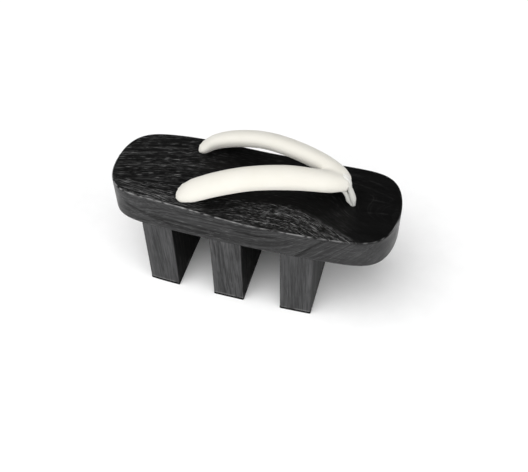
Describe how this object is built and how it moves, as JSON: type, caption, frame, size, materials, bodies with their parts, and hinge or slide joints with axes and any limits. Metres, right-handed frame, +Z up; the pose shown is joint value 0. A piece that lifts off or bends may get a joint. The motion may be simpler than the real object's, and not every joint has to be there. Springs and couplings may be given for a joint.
{
  "type": "geta sandal",
  "caption": "High wooden sandal on crosswise teeth, with a dished board, padded cloth strap and toe cord.",
  "frame": {"origin": "on the floor, under the middle of the board", "axes": "+X along the board to the toe, +Y across the foot, +Z up"},
  "size_m": [0.2398, 0.0874, 0.1371],
  "materials": {
    "stained_wood": "satin black stain with the grain showing",
    "tread_rubber": "matte",
    "strap_cloth": "matte off-white padded cloth",
    "cord_cloth": "matte off-white twisted cloth"
  },
  "bodies": {
    "root": {"board": "stained_wood", "tooth_rear": "stained_wood", "tooth_middle": "stained_wood", "tooth_front": "stained_wood", "tread_rear": "tread_rubber", "tread_middle": "tread_rubber", "tread_front": "tread_rubber", "hanao": "strap_cloth", "maetsubo": "cord_cloth"}
  },
  "joints": []
}
